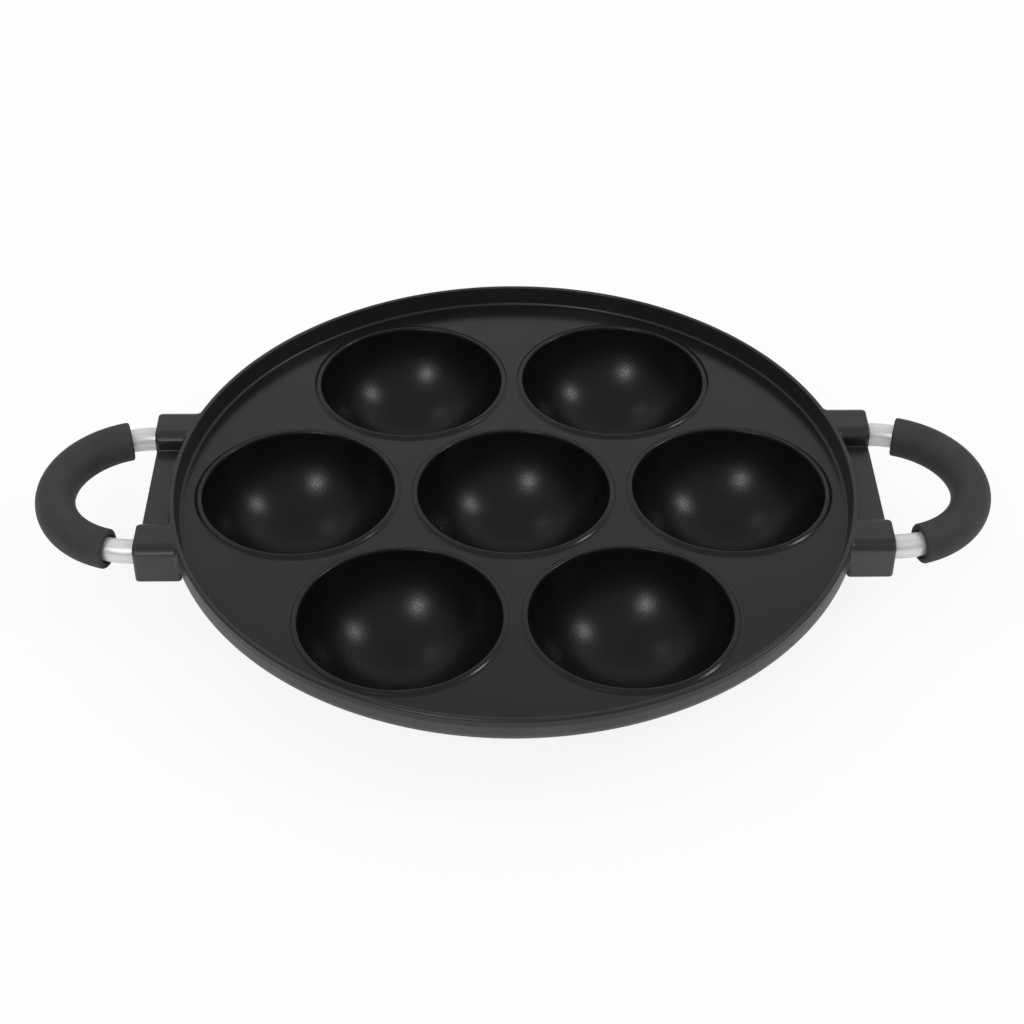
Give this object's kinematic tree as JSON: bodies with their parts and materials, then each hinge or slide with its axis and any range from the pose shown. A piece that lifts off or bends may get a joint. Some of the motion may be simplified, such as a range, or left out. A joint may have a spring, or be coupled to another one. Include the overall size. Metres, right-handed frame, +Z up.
{
  "type": "takoyaki pan",
  "caption": "Round cast pan with hemispherical wells in a flat plate, a raised rim and a bent steel handle with a soft sleeve on each side.",
  "frame": {"origin": "under the middle well, at the height of the feet on which the pan stands", "axes": "+X runs from the left handle to the right handle, +Y runs to the back, +Z is up"},
  "size_m": [0.3346, 0.24, 0.0369],
  "materials": {
    "pan_coating": "die-cast aluminium under a black non-stick coating with a fine grain, semi-matt",
    "handle_steel": "stainless steel bar, brushed along its length",
    "grip_rubber": "matt black soft silicone with a fine moulded grain",
    "screw_steel": "plain zinc-plated steel"
  },
  "bodies": {
    "root": {"pan_casting": "pan_coating", "handle_rod_left": "handle_steel", "handle_rod_right": "handle_steel", "grip_sleeve_left": "grip_rubber", "grip_sleeve_right": "grip_rubber", "locking_screw_left_front": "screw_steel", "locking_screw_left_back": "screw_steel", "locking_screw_right_front": "screw_steel", "locking_screw_right_back": "screw_steel"}
  },
  "joints": []
}
